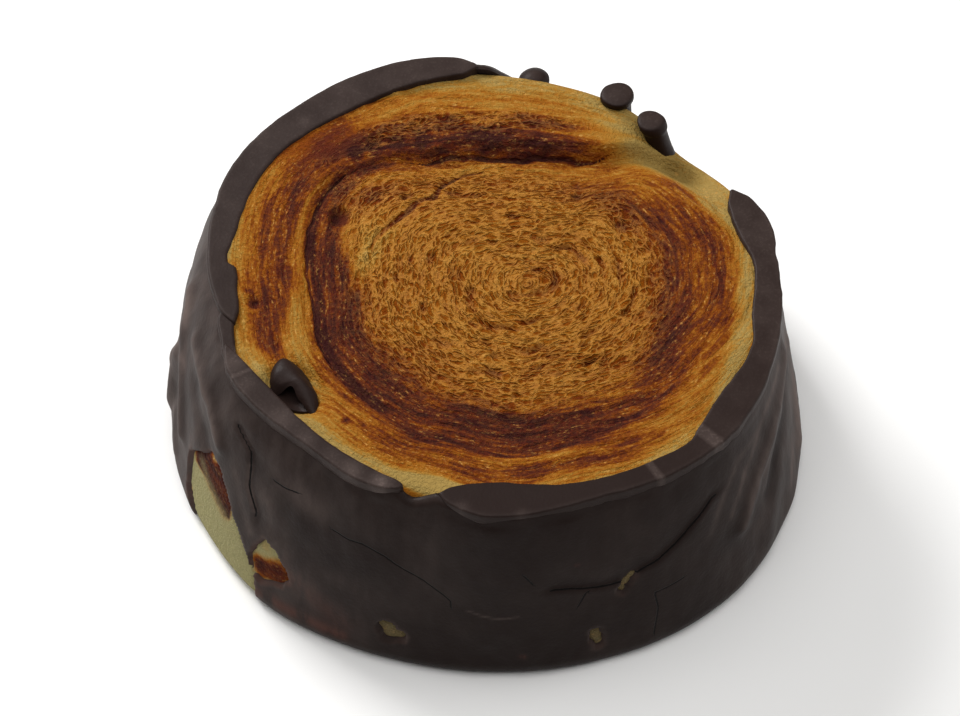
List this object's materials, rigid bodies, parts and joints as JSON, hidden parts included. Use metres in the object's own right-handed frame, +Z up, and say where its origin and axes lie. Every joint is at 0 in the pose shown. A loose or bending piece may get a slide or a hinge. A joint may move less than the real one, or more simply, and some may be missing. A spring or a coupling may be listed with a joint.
{
  "type": "chocolate danish pastry",
  "caption": "Round rolled danish with a browned swirl face and a dark chocolate coat over its leaning wall, set into flat lips round the top.",
  "frame": {"origin": "middle of the flat baked base, on the surface the pastry rests on", "axes": "+Z up through the swirl face; +X to the right and +Y away from the viewer as the pastry is shown"},
  "size_m": [0.0975, 0.0978, 0.0335],
  "materials": {
    "baked_pastry": "flaky baked crust, golden brown with dark caramelised bands and pale bare dough at the edges",
    "dark_chocolate": "set dark chocolate, satin on the flat lips and softly streaked on the wall"
  },
  "bodies": {
    "root": {"pastry": "baked_pastry", "chocolate_coat": "dark_chocolate", "chocolate_shard": "dark_chocolate"}
  },
  "joints": []
}
